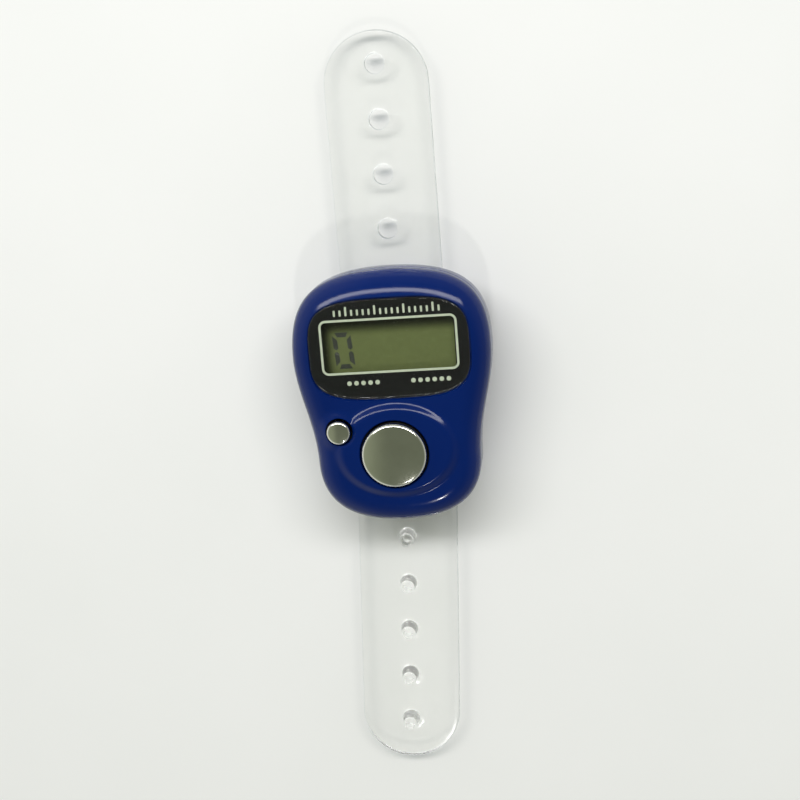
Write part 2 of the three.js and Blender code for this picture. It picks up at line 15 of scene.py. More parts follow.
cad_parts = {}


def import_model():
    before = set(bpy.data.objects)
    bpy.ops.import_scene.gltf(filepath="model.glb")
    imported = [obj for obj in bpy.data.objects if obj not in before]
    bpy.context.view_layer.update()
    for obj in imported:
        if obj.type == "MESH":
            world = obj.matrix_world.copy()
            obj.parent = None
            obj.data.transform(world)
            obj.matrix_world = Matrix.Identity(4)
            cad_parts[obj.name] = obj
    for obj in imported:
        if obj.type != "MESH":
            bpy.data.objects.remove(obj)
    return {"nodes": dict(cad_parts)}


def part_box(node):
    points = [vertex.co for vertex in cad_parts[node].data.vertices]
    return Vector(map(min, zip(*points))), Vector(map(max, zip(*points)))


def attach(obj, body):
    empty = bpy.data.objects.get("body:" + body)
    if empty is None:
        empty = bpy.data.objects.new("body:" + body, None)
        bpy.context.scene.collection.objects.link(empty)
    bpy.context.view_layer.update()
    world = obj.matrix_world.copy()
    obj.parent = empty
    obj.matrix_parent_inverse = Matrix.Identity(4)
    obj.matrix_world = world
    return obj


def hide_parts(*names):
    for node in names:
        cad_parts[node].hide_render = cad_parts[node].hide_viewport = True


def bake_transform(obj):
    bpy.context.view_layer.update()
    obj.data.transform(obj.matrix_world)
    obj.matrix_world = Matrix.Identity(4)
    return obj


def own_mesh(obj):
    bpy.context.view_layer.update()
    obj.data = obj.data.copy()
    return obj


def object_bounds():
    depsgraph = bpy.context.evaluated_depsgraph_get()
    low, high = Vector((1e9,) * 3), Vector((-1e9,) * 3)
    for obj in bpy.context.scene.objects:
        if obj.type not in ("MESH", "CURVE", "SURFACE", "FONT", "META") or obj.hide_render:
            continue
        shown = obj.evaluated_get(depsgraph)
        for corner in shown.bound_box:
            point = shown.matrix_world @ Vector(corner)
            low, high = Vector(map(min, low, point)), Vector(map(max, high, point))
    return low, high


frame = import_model()
CAD_BOX = [list(corner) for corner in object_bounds()]

MM = 0.001


def box_mm(node):
    """Lowest and highest corner of a CAD node, in millimetres."""
    low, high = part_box(node)
    return Vector(low) / MM, Vector(high) / MM


def middle(node):
    """The middle of a CAD node's box, in millimetres."""
    low, high = box_mm(node)
    return (low + high) / 2


# ---------------- sizes from the frame
CASE_LOW, CASE_HIGH = box_mm("front_case")
CASE_X = (CASE_LOW.x + CASE_HIGH.x) / 2
CASE_Y = (CASE_LOW.y + CASE_HIGH.y) / 2
HALF_WIDTH = (CASE_HIGH.x - CASE_LOW.x) / 2
HALF_LENGTH = (CASE_HIGH.y - CASE_LOW.y) / 2
FACE_Z = CASE_HIGH.z - 0.6  # the face lies this far below the count key's raised pad
PARTING_Z = (box_mm("rear_case")[1].z + CASE_LOW.z) / 2

STRAP_LOW, STRAP_HIGH = box_mm("strap_middle")
STRAP_BOTTOM, STRAP_TOP = STRAP_LOW.z, STRAP_HIGH.z
BACK_Z = STRAP_TOP + 0.3  # the case's flat back, clear of the strap

WINDOW_LOW, WINDOW_HIGH = box_mm("display_window")
WINDOW_CENTRE = (WINDOW_LOW + WINDOW_HIGH) / 2
WINDOW_SIZE = (WINDOW_HIGH - WINDOW_LOW) / 2
POLARISER_LOW, POLARISER_HIGH = box_mm("lcd_front_polariser")
DISPLAY_X = (POLARISER_LOW.x + POLARISER_HIGH.x) / 2
DISPLAY_Y = (POLARISER_LOW.y + POLARISER_HIGH.y) / 2
PRINT_LOW, PRINT_HIGH = box_mm("window_print")

WALL = 1.3
FACE_THICKNESS = 1.6
BACK_THICKNESS = 1.2
WAIST_HALF_WIDTH = 12.9
REAR_EDGE = 2.2  # radius of the back's rounded edge
CREST_REACH = (3.5, 4.9)  # the front's rounded edge, inwards: at the keys, at the window
CREST_DROP = (3.1, 4.1)  # the same, downwards
CREST_CHANGE = (5, 16)  # from this y to this y the edge grows
PARTING_GAP = 0.03  # each shell stops this far from the parting line
PARTING_ROUND = 0.12  # size of the small round at the parting line

BAR_PLACES = (CASE_Y + 14, CASE_Y - 14)
BAR_REACH = 10.0
BAR_HALF_WIDTH = 1.5
BAR_THICKNESS = 1.0
POST_WIDTH = 1.5
DOOR_HOLE = 7.5
LUG_REACH, LUG_HALF_WIDTH = 8.9, 1.6
POST_RADIUS = 1.9
CASE_SCREWS = [f"case_screw_{i}" for i in (1, 2, 3, 4)]

COUNT_AT = middle("count_button")
RESET_AT = middle("reset_button")
COUNT_TOP = box_mm("count_button")[1].z
RESET_TOP = box_mm("reset_button")[1].z
COUNT_RADIUS, COUNT_HOLE = 5.1, 5.5
RESET_RADIUS, RESET_HOLE = 1.85, 2.2
PAD_SLOPE = 1.95
PADS = (  # centre, half width, half height and height of the raised pads round the keys
    (CASE_X, CASE_Y - 8.0, 10.2, 7.85, 0.7),
    (RESET_AT.x, RESET_AT.y, 3.7, 3.7, 0.45),
)


# ---------------- mesh tools
SMOOTH_ANGLE = 35  # edges sharper than this stay sharp, in degrees


def added(name, data):
    """A new object in the scene."""
    obj = bpy.data.objects.new(name, data)
    bpy.context.scene.collection.objects.link(obj)
    return obj


def finished(name, bm, smooth_angle=SMOOTH_ANGLE):
    """A new object from a bmesh in millimetres."""
    bmesh.ops.remove_doubles(bm, verts=bm.verts, dist=1e-4)
    bmesh.ops.dissolve_degenerate(bm, dist=1e-5, edges=bm.edges)
    bmesh.ops.recalc_face_normals(bm, faces=bm.faces)
    mesh = bpy.data.meshes.new(name)
    bm.to_mesh(mesh)
    bm.free()
    mesh.transform(Matrix.Scale(MM, 4))
    mesh.shade_smooth()
    mesh.set_sharp_from_angle(angle=math.radians(smooth_angle))
    return added(name, mesh)


def skin(bm, rings):
    """Quads between closed rings of equal length; each ring is a list of (x, y, z)."""
    rows = [[bm.verts.new(point) for point in ring] for ring in rings]
    count = len(rows[0])
    for upper, lower in zip(rows, rows[1:]):
        for j in range(count):
            k = (j + 1) % count
            bm.faces.new((upper[j], upper[k], lower[k], lower[j]))
    return rows


def lathe(name, centre, profile, steps):
    """A solid of revolution about a vertical line. The profile runs from axis to axis."""
    bm = bmesh.new()
    rings = []
    for radius, z in profile:
        ring = []
        for i in range(steps):
            angle = 2 * math.pi * i / steps
            ring.append(
                (centre.x + radius * math.cos(angle), centre.y + radius * math.sin(angle), z)
            )
        rings.append(ring)
    skin(bm, rings)
    return finished(name, bm)


def arc(centre, radius, start, end, steps):
    """Points on an arc in the profile plane, angles in degrees."""
    points = []
    for i in range(steps + 1):
        angle = math.radians(start + (end - start) * i / steps)
        points.append((centre[0] + radius * math.cos(angle), centre[1] + radius * math.sin(angle)))
    return points


def level(outline, z):
    """A flat outline as a ring at one height."""
    return [(x, y, z) for x, y in outline]


def stack(name, rings, smooth_angle=SMOOTH_ANGLE):
    """A solid skinned over a stack of rings, and closed flat at both ends."""
    bm = bmesh.new()
    rows = skin(bm, rings)
    bm.faces.new(rows[0])
    bm.faces.new(rows[-1])
    return finished(name, bm, smooth_angle)


def prism(name, outline, z0, z1):
    """A flat-sided solid over a closed outline."""
    return stack(name, [level(outline, z0), level(outline, z1)])


def carve(obj, cutters, operation="DIFFERENCE"):
    """Cuts or joins solids with exact booleans, and applies the result."""
    for cutter in cutters:
        modifier = obj.modifiers.new("cut", "BOOLEAN")
        modifier.operation = operation
        modifier.solver = "EXACT"
        modifier.object = cutter
    bpy.context.view_layer.update()
    evaluated = obj.evaluated_get(bpy.context.evaluated_depsgraph_get())
    mesh = bpy.data.meshes.new_from_object(evaluated)
    obj.modifiers.clear()
    obj.data = mesh
    for cutter in cutters:
        bpy.data.objects.remove(cutter)
    mesh.shade_smooth()
    mesh.set_sharp_from_angle(angle=math.radians(SMOOTH_ANGLE))
    return obj


def smoothstep(value):
    """0 up to 0, 1 from 1, and a smooth step between them."""
    value = min(max(value, 0.0), 1.0)
    return value * value * (3 - 2 * value)


# ---------------- outlines
def bezier(p0, p1, p2, p3, steps):
    """Points on a cubic curve, without its first one."""
    points = []
    for i in range(1, steps + 1):
        t = i / steps
        u = 1 - t
        weights = (u**3, 3 * u * u * t, 3 * u * t * t, t**3)
        points.append(
            tuple(sum(w * p[k] for w, p in zip(weights, (p0, p1, p2, p3))) for k in (0, 1))
        )
    return points


def case_outline(steps=64):
    """The case from the front, anticlockwise, about its own centre."""
    w, n, length = HALF_WIDTH, WAIST_HALF_WIDTH, HALF_LENGTH
    right = [(0.0, -length)]
    right += bezier((0, -length), (8.4, -length), (n, -16.8), (n, -10), steps)
    right += bezier((n, -10), (n + 0.1, -3), (w, 1), (w, 7.5), steps)
    right += bezier((w, 7.5), (w, 16), (11.8, length), (0, length), steps)
    left = [(-x, y) for x, y in right[1:-1]]
    return right + left[::-1]


def inset(outline, distance):
    """Each point moved inwards by a distance."""
    moved = []
    for i, (x, y) in enumerate(outline):
        before = outline[i - 1]
        after = outline[(i + 1) % len(outline)]
        dx, dy = after[0] - before[0], after[1] - before[1]
        size = math.hypot(dx, dy)
        moved.append((x - dy / size * distance, y + dx / size * distance))
    return moved


def superellipse(centre, half_width, half_height, exponent=3.6, steps=200):
    """An outline between an ellipse and a rectangle."""
    points = []
    for i in range(steps):
        angle = 2 * math.pi * i / steps
        c, s = math.cos(angle), math.sin(angle)
        radius = (abs(c) ** exponent + abs(s) ** exponent) ** (-1 / exponent)
        points.append((centre.x + half_width * radius * c, centre.y + half_height * radius * s))
    return points


OUTLINE = case_outline()


def placed(outline, z):
    """A ring at one height, from an outline about the case's centre."""
    return [(CASE_X + x, CASE_Y + y, z) for x, y in outline]


# ---------------- materials
COLOR_A, COLOR_B, COLOR_RESULT = 6, 7, 2  # the colour sockets of a Mix node


def smooth_range(tree, value, start, end, low=0.0, high=1.0):
    """Node output that goes smoothly from low to high as the value goes from start to end."""
    made = tree.nodes.new("ShaderNodeMapRange")
    made.interpolation_type = "SMOOTHSTEP"
    made.inputs["From Min"].default_value = start
    made.inputs["From Max"].default_value = end
    made.inputs["To Min"].default_value = low
    made.inputs["To Max"].default_value = high
    tree.links.new(value, made.inputs["Value"])
    return made.outputs["Result"]


def multiplied(tree, first, second):
    """Node output with the product of two colours."""
    made = tree.nodes.new("ShaderNodeMix")
    made.data_type = "RGBA"
    made.blend_type = "MULTIPLY"
    made.inputs["Factor"].default_value = 1.0
    tree.links.new(first, made.inputs[COLOR_A])
    tree.links.new(second, made.inputs[COLOR_B])
    return made.outputs[COLOR_RESULT]


class Paint:
    """A node material with one Principled shader, and short ways to add its detail."""

    def __init__(self, name, color, roughness, **sockets):
        self.material = bpy.data.materials.new(name)
        self.material.use_nodes = True
        self.tree = self.material.node_tree
        self.shader = self.tree.nodes["Principled BSDF"]
        self.shader.inputs["Base Color"].default_value = (*color, 1)
        self.shader.inputs["Roughness"].default_value = roughness
        for socket, value in sockets.items():
            self.shader.inputs[socket.replace("_", " ")].default_value = value

    def node(self, kind, **inputs):
        made = self.tree.nodes.new(kind)
        for socket, value in inputs.items():
            made.inputs[socket].default_value = value
        return made

    def link(self, output, target):
        self.tree.links.new(output, target)

    def noise(self, per_mm, detail, stretch=(1, 1, 1)):
        """Noise in object space with so many cells to the millimetre."""
        where = self.node("ShaderNodeTexCoord")
        scale = self.node("ShaderNodeMapping")
        scale.inputs["Scale"].default_value = [s * per_mm / MM for s in stretch]
        texture = self.node("ShaderNodeTexNoise", Scale=1.0, Detail=detail)
        self.link(where.outputs["Object"], scale.inputs["Vector"])
        self.link(scale.outputs["Vector"], texture.inputs["Vector"])
        return texture.outputs["Fac"]

    def spread(self, value, low, high):
        """Maps a 0 to 1 value to a range."""
        made = self.node("ShaderNodeMapRange")
        made.inputs["From Min"].default_value = 0.3
        made.inputs["From Max"].default_value = 0.7
        made.inputs["To Min"].default_value = low
        made.inputs["To Max"].default_value = high
        self.link(value, made.inputs["Value"])
        return made.outputs["Result"]

    def tint(self, value, dark, light):
        """Base colour that drifts between two colours."""
        ramp = self.node("ShaderNodeValToRGB")
        ramp.color_ramp.elements[0].position = 0.3
        ramp.color_ramp.elements[0].color = (*dark, 1)
        ramp.color_ramp.elements[1].position = 0.7
        ramp.color_ramp.elements[1].color = (*light, 1)
        self.link(value, ramp.inputs["Fac"])
        self.link(ramp.outputs["Color"], self.shader.inputs["Base Color"])
        return self

    def rough(self, value, low, high):
        self.link(self.spread(value, low, high), self.shader.inputs["Roughness"])
        return self

    def bump(self, value, height_mm, strength):
        made = self.node("ShaderNodeBump", Strength=strength, Distance=height_mm * MM)
        self.link(value, made.inputs["Height"])
        self.link(made.outputs["Normal"], self.shader.inputs["Normal"])
        return self


def blue_plastic():
    """Glossy blue moulded plastic."""
    paint = Paint("blue_plastic", (0.0005, 0.0125, 0.108), 0.13, Specular_IOR_Level=0.26)
    paint.tint(paint.noise(0.06, 2), (0.0004, 0.0115, 0.1), (0.0007, 0.014, 0.118))
    paint.rough(paint.noise(1.2, 6), 0.09, 0.17)
    paint.bump(paint.noise(0.5, 3), 0.012, 0.35)
    return paint.material


def chrome():
    """Bright plating, slightly smudged."""
    paint = Paint("chrome_plate", (0.8, 0.8, 0.71), 0.09, Metallic=1.0)
    paint.tint(paint.noise(0.2, 3), (0.75, 0.75, 0.66), (0.84, 0.84, 0.75))
    paint.rough(paint.noise(2.5, 6, (1, 6, 1)), 0.06, 0.14)
    paint.bump(paint.noise(0.4, 3), 0.01, 0.25)
    return paint.material


def see_through(paint, shade):
    """Lets lamps and bounced light through, as clear plastic does."""
    rays = paint.node("ShaderNodeLightPath")
    clear = paint.node("ShaderNodeBsdfTransparent")
    clear.inputs["Color"].default_value = (*shade, 1)
    surface = paint.shader.outputs[0]
    for kind in ("Is Diffuse Ray", "Is Shadow Ray"):
        mix = paint.node("ShaderNodeMixShader")
        paint.link(rays.outputs[kind], mix.inputs[0])
        paint.link(surface, mix.inputs[1])
        paint.link(clear.outputs[0], mix.inputs[2])
        surface = mix.outputs[0]
    paint.link(surface, paint.tree.nodes["Material Output"].inputs["Surface"])
    return paint


def clear_vinyl():
    """The strap's soft clear plastic."""
    paint = Paint("clear_vinyl", (0.985, 0.988, 0.98), 0.1, IOR=1.5)
    paint.shader.inputs["Transmission Weight"].default_value = 1.0
    paint.tint(paint.noise(0.08, 3), (0.98, 0.985, 0.975), (0.99, 0.992, 0.987))
    paint.rough(paint.noise(3.0, 5), 0.09, 0.24)
    paint.bump(paint.noise(1.2, 4), 0.02, 0.25)
    return see_through(paint, (0.988, 0.99, 0.986)).material


def vinyl_edge():
    """The strap's edges: cut faces bend light away, so they look and cast darker."""
    paint = Paint("vinyl_edge", (0.82, 0.85, 0.87), 0.16, IOR=1.5)
    paint.shader.inputs["Transmission Weight"].default_value = 1.0
    paint.tint(paint.noise(0.5, 4), (0.78, 0.81, 0.84), (0.86, 0.89, 0.9))
    paint.rough(paint.noise(3.0, 5), 0.1, 0.3)
    paint.bump(paint.noise(2.5, 4), 0.03, 0.4)
    return see_through(paint, (0.4, 0.42, 0.45)).material


def clear_acrylic():
    """The window's hard clear plastic."""
    paint = Paint("clear_acrylic", (0.98, 0.985, 0.98), 0.02, IOR=1.33)
    paint.shader.inputs["Transmission Weight"].default_value = 1.0
    paint.rough(paint.noise(0.8, 5), 0.01, 0.04)
    return see_through(paint, (0.95, 0.955, 0.95)).material


def lcd_glass():
    """The display's two thin sheets of glass."""
    paint = Paint("lcd_glass", (0.93, 0.95, 0.9), 0.02, IOR=1.5)
    paint.shader.inputs["Transmission Weight"].default_value = 1.0
    paint.tint(paint.noise(0.1, 2), (0.91, 0.93, 0.88), (0.94, 0.96, 0.91))
    return see_through(paint, (0.94, 0.95, 0.93)).material


def olive_film():
    """The display's film, with painted shade along its top and left edges, where the window's mask
    shades the sunken film.
    """
    low, high = POLARISER_LOW * MM, POLARISER_HIGH * MM
    paint = Paint("lcd_olive_film", (0.122, 0.146, 0.053), 0.4, Specular_IOR_Level=0.15)
    paint.tint(paint.noise(1.2, 3), (0.115, 0.138, 0.05), (0.129, 0.154, 0.056))
    drift = paint.shader.inputs["Base Color"].links[0].from_socket
    where = paint.node("ShaderNodeTexCoord")
    axes = paint.node("ShaderNodeSeparateXYZ")
    paint.link(where.outputs["Object"], axes.inputs["Vector"])
    # painted shade: the film is darkened along its top and left edges, as the mask above it shades
    # them
    for axis, start, end in (
        ("Y", high.y - 1.3 * MM, high.y - 3.1 * MM),
        ("X", low.x + 0.3 * MM, low.x + 2.2 * MM),
    ):
        painted_shade = smooth_range(paint.tree, axes.outputs[axis], start, end, 0.12, 1.0)
        drift = multiplied(paint.tree, drift, painted_shade)
    paint.link(drift, paint.shader.inputs["Base Color"])
    paint.rough(paint.noise(4, 5), 0.32, 0.46)
    return paint.material


def seam():
    """For the caps between the strap's four pieces, which lie inside one clear moulding."""
    paint = Paint("seam_clear", (1, 1, 1), 0.5)
    paint.rough(paint.noise(1.0, 2), 0.4, 0.6)
    paint.shader.inputs["Alpha"].default_value = 0.0
    return paint.material


def plain(name, color, roughness, drift=0.12, grain=2.0, height=0.01, **sockets):
    """A moulded or printed finish with a little drift in colour, sheen and surface."""
    paint = Paint(name, color, roughness, **sockets)
    dark = tuple(c * (1 - drift) for c in color)
    light = tuple(min(c * (1 + drift), 1) for c in color)
    paint.tint(paint.noise(0.3 * grain, 3), dark, light)
    paint.rough(paint.noise(grain, 5), roughness * 0.8, min(roughness * 1.2, 1))
    paint.bump(paint.noise(2 * grain, 4), height, 0.4)
    return paint.material


def brushed(name, color, roughness):
    """Bare metal with fine marks along one direction."""
    paint = Paint(name, color, roughness, Metallic=1.0)
    paint.tint(
        paint.noise(0.5, 3), tuple(c * 0.9 for c in color), tuple(min(c * 1.08, 1) for c in color)
    )
    paint.rough(paint.noise(3, 5, (1, 14, 1)), roughness * 0.7, roughness * 1.4)
    paint.bump(paint.noise(4, 4, (1, 14, 1)), 0.006, 0.5)
    return paint.material


MATERIALS = {
    "blue": blue_plastic(),
    "chrome": chrome(),
    "vinyl": clear_vinyl(),
    "acrylic": clear_acrylic(),
    "lcd_glass": lcd_glass(),
    "vinyl_edge": vinyl_edge(),
    "seam": seam(),
    "olive": olive_film(),
    "reflector": plain("lcd_reflector", (0.32, 0.34, 0.2), 0.5, grain=6),
    "segment": plain("lcd_segment", (0.012, 0.015, 0.009), 0.5, grain=3, height=0.001),
    "print_black": plain(
        "black_print", (0.0035, 0.0037, 0.004), 0.5, grain=3, height=0.002, Specular_IOR_Level=0.1
    ),
    "print_pale": plain("pale_print", (0.52, 0.58, 0.44), 0.5, drift=0.08, grain=5, height=0.002),
    "foam": plain("foam", (0.03, 0.03, 0.032), 0.95, grain=6, height=0.08),
    "zebra": plain("zebra_rubber", (0.45, 0.3, 0.28), 0.6, grain=8),
    "board": plain("solder_mask", (0.012, 0.11, 0.04), 0.35, grain=3, height=0.02),
    "epoxy": plain("black_epoxy", (0.006, 0.006, 0.007), 0.3, grain=1.5, height=0.05),
    "ceramic": plain("ceramic", (0.4, 0.27, 0.14), 0.5, grain=5),
    "resistor": plain("resistor_body", (0.01, 0.01, 0.012), 0.45, grain=5),
    "silicone": plain("silicone", (0.62, 0.6, 0.54), 0.5, drift=0.05, grain=2, height=0.02),
    "carbon": plain("carbon_pill", (0.01, 0.01, 0.011), 0.85, grain=6, height=0.03),
    "nylon": plain("nylon", (0.6, 0.63, 0.66), 0.5, grain=2),
    "cell_steel": brushed("cell_steel", (0.58, 0.585, 0.59), 0.28),
    "spring": brushed("sprung_bronze", (0.62, 0.5, 0.27), 0.3),
    "screw": brushed("screw_steel", (0.5, 0.51, 0.53), 0.32),
    # painted shade: the keys' skirts are dark to stand for the shade in the narrow gap round each
    # key's head
    "skirt": plain("key_skirt_painted_shade", (0.02, 0.02, 0.021), 0.45),
}


def dress(obj, material, body, slot_name, *nodes):
    """Gives a new piece its material and body, and hides the CAD parts it replaces; its slot name
    is not used.
    """
    obj.data.materials.clear()
    obj.data.materials.append(MATERIALS[material])
    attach(obj, body)
    if nodes:
        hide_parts(*nodes)
    return obj


# ---------------- case shells
SPINE = (-9.0, 8.0)  # the face's rings close on this stretch of the centre line


def crest_size(y):
    """How far the front's rounded edge reaches in and down: more at the window's end."""
    start, end = CREST_CHANGE
    share = smoothstep((y - start) / (end - start))
    reach, drop = (small + (large - small) * share for small, large in (CREST_REACH, CREST_DROP))
    return reach, drop


def toward_spine(outline, share):
    """A ring part of the way from an outline to the spine."""
    ring = []
    for x, y in outline:
        target = min(max(y, SPINE[0]), SPINE[1])
        ring.append((x * (1 - share), y + (target - y) * share))
    return ring


def pad_rise(x, y, pad):
    """How far a key's raised pad lifts the face at a point."""
    centre_x, centre_y, half_width, half_height, height = pad
    distance = 1 - math.hypot((x - centre_x) / half_width, (y - centre_y) / half_height)
    return height * smoothstep(distance * half_width / PAD_SLOPE)


def face_height(x, y):
    """The front face: very slightly crowned, with the raised pads round the keys."""
    crown = 0.1 * ((x / HALF_WIDTH) ** 2 + ((y - CASE_Y) / HALF_LENGTH) ** 2)
    return FACE_Z - crown + max(pad_rise(x, y, pad) for pad in PADS)


def shell(name, outer_rings, inner_rings):
    """A closed shell: an outer and an inner surface, joined round their open rims."""
    bm = bmesh.new()
    outer = skin(bm, outer_rings)
    inner = skin(bm, inner_rings)
    count = len(outer[0])
    for j in range(count):
        k = (j + 1) % count
        bm.faces.new((outer[0][k], outer[0][j], inner[0][j], inner[0][k]))
    return finished(name, bm)


def wall_ring(share):
    """A ring on the upright wall, part of the way from the parting line to the rounded edge."""
    bottom = PARTING_Z + 0.3
    ring = []
    for x, y in OUTLINE:
        top = FACE_Z - crest_size(y)[1]
        ring.append((CASE_X + x, CASE_Y + y, bottom + (top - bottom) * share))
    return ring


def crest_ring(angle):
    """A ring on the rounded edge, from 0 at the wall to a quarter turn at the face."""
    ring = []
    for (x, y), (inner_x, inner_y) in zip(OUTLINE, inset(OUTLINE, 1)):
        reach, drop = crest_size(y)
        depth = reach * (1 - math.cos(angle))
        at_x = CASE_X + x + (inner_x - x) * depth
        at_y = CASE_Y + y + (inner_y - y) * depth
        rise = math.sin(angle)
        face = (face_height(at_x, at_y) - FACE_Z) * rise
        ring.append((at_x, at_y, FACE_Z - drop * (1 - rise) + face))
    return ring


def front_inside():
    """The front shell's inner surface, from its rim to the flat underside of the face."""
    inside = FACE_Z - FACE_THICKNESS
    rings = [placed(inset(OUTLINE, WALL), PARTING_Z + PARTING_GAP)]
    rings.append(placed(inset(OUTLINE, WALL), inside - 1))
    rings.append(placed(inset(OUTLINE, WALL + 0.3), inside - 0.3))
    rim = inset(OUTLINE, WALL + 1)
    for share in (0, 0.35, 0.7, 1.0):
        rings.append(placed(toward_spine(rim, share), inside))
    return rings


def front_shell(face_rings=110):
    """The front shell: upright wall, rounded edge, then the face's rings down to the spine."""
    outer = [placed(inset(OUTLINE, PARTING_ROUND), PARTING_Z + PARTING_GAP)]
    outer.append(placed(inset(OUTLINE, 0.02), PARTING_Z + PARTING_ROUND))
    outer += [wall_ring(i / 5) for i in range(5)]
    outer += [crest_ring(math.radians(degrees)) for degrees in range(0, 91, 5)]
    rim = [(x - CASE_X, y - CASE_Y) for x, y, _ in outer[-1]]
    for i in range(1, face_rings + 1):
        ring = [(CASE_X + x, CASE_Y + y) for x, y in toward_spine(rim, i / face_rings)]
        outer.append([(x, y, face_height(x, y)) for x, y in ring])
    return carve(shell("front_shell", outer, front_inside()), front_cutters())


def flared_hole(centre, radius, top, depth=3):
    """A cutter for a key's hole with a softly rounded mouth at height top."""
    flare = 0.28
    profile = [(0, top - depth), (radius, top - depth), (radius, top - flare)]
    for degrees in (15, 30, 45, 60):
        angle = math.radians(degrees)
        widening = flare * (1 - math.cos(angle))
        profile.append((radius + widening, top - flare + flare * math.sin(angle)))
    mouth = profile[-1][0] + 0.35
    profile += [(mouth, top + 0.25), (mouth, top + 2), (0, top + 2)]
    return lathe("cutter", centre, profile, 112)


def window_recess():
    """A cutter for the window's recess, a little wider than the window and flared at the face."""
    snug = superellipse(WINDOW_CENTRE, WINDOW_SIZE.x + 0.16, WINDOW_SIZE.y + 0.16)
    wide = superellipse(WINDOW_CENTRE, WINDOW_SIZE.x + 0.3, WINDOW_SIZE.y + 0.3)
    rings = [level(snug, PRINT_LOW.z - 0.05), level(snug, FACE_Z - 0.3)]
    rings += [level(wide, FACE_Z + 0.02), level(wide, FACE_Z + 1)]
    return stack("cutter", rings)


def display_opening():
    """A cutter for the opening under the window, over the display."""
    low, high = POLARISER_LOW, POLARISER_HIGH
    corners = [(low.x, low.y), (high.x, low.y), (high.x, high.y), (low.x, high.y)]
    return prism("cutter", corners, PRINT_LOW.z - 3, PRINT_LOW.z + 0.5)


def front_cutters():
    """Everything that is cut out of the front shell."""
    count_mouth = face_height(COUNT_AT.x, COUNT_AT.y + COUNT_HOLE)
    reset_mouth = face_height(RESET_AT.x, RESET_AT.y)
    return [
        flared_hole(COUNT_AT, COUNT_HOLE - 0.1, count_mouth),
        flared_hole(RESET_AT, RESET_HOLE - 0.05, reset_mouth),
        window_recess(),
        display_opening(),
    ]


def rear_outside():
    """The rear shell's outer surface: wall, rounded edge, then the flat back."""
    rings = [placed(inset(OUTLINE, 0.1), PARTING_Z - PARTING_GAP)]
    rings.append(placed(OUTLINE, PARTING_Z - PARTING_ROUND))
    rings.append(placed(OUTLINE, PARTING_Z - 1))
    for degrees in range(0, 91, 9):
        angle = math.radians(degrees)
        depth = REAR_EDGE * (1 - math.cos(angle))
        rings.append(placed(inset(OUTLINE, depth), BACK_Z + REAR_EDGE * (1 - math.sin(angle))))
    rim = inset(OUTLINE, REAR_EDGE)
    for share in (0.1, 0.25, 0.4, 0.55, 0.7, 0.85, 1.0):
        rings.append(placed(toward_spine(rim, share), BACK_Z))
    return rings


def rear_inside():
    """The rear shell's inner surface, from its rim to the flat inside of the back."""
    inside = BACK_Z + BACK_THICKNESS
    rings = [placed(inset(OUTLINE, WALL), PARTING_Z - PARTING_GAP)]
    rings.append(placed(inset(OUTLINE, WALL), inside + 1.2))
    rings.append(placed(inset(OUTLINE, WALL + 0.4), inside + 0.4))
    rim = inset(OUTLINE, WALL + 1.2)
    for share in (0, 0.35, 0.7, 1.0):
        rings.append(placed(toward_spine(rim, share), inside))
    return rings


def rear_shell():
    """The rear shell with its strap bars and screw posts, the door's hole and the screw holes."""
    body = shell("rear_shell", rear_outside(), rear_inside())
    carve(body, strap_bars() + screw_posts(), "UNION")
    return carve(body, door_cutters() + screw_cutters())


def rounded_block(low, high, radius):
    """A box with rounded edges, between two corners in millimetres."""
    bm = bmesh.new()
    bmesh.ops.create_cube(bm, size=1)
    low, high = Vector(low), Vector(high)
    for vertex in bm.verts:
        vertex.co = Vector(
            (low[k] + (vertex.co[k] + 0.5) * (high[k] - low[k])) for k in range(3)
        )
    bmesh.ops.bevel(
        bm, geom=bm.edges[:], offset=radius, offset_type="OFFSET", segments=4, profile=0.5,
        affect="EDGES",
    )
    return finished("block", bm)


def strap_bars():
    """Two bars across the back, each on a post at either side of the strap."""
    blocks = []
    inner = BAR_REACH - POST_WIDTH
    slack = 0.01  # keeps a post's sides just inside its bar's
    for y in BAR_PLACES:
        y0, y1 = y - BAR_HALF_WIDTH, y + BAR_HALF_WIDTH
        blocks.append(rounded_block((-BAR_REACH, y0, 0), (BAR_REACH, y1, BAR_THICKNESS), 0.3))
        for x0, x1 in ((-BAR_REACH, -inner), (inner, BAR_REACH)):
            low = (x0 + slack, y0 + slack, BAR_THICKNESS / 2)
            high = (x1 - slack, y1 - slack, BACK_Z + 0.9)
            blocks.append(rounded_block(low, high, 0.28))
    return blocks


def case_screws():
    """The boxes of the four case screws."""
    return [box_mm(node) for node in CASE_SCREWS]


def screw_posts():
    """A post inside the case round each case screw."""
    bottom, top = BACK_Z + 0.6, PARTING_Z - 0.1
    profile = [(0, bottom), (POST_RADIUS, bottom), (POST_RADIUS, top), (0, top)]
    return [lathe("post", (low + high) / 2, profile, 48) for low, high in case_screws()]


def door_cutters():
    """The battery door's round hole, and the notch that lets its two lugs in."""
    door = middle("battery_door")
    bottom, top, mouth = BACK_Z - 1, BACK_Z + 2, 0.2
    profile = [(0, bottom), (DOOR_HOLE + mouth, bottom), (DOOR_HOLE + mouth, BACK_Z)]
    profile += [(DOOR_HOLE, BACK_Z + mouth), (DOOR_HOLE, top), (0, top)]
    turn = Matrix.Rotation(math.radians(45), 2)
    notch = []
    for x, y in ((-1, -1), (1, -1), (1, 1), (-1, 1)):
        corner = turn @ Vector((x * LUG_REACH, y * LUG_HALF_WIDTH))
        notch.append((door.x + corner.x, door.y + corner.y))
    return [
        lathe("cutter", door, profile, 128),
        prism("cutter", notch, BACK_Z - 0.5, BACK_Z + 1.9),
    ]


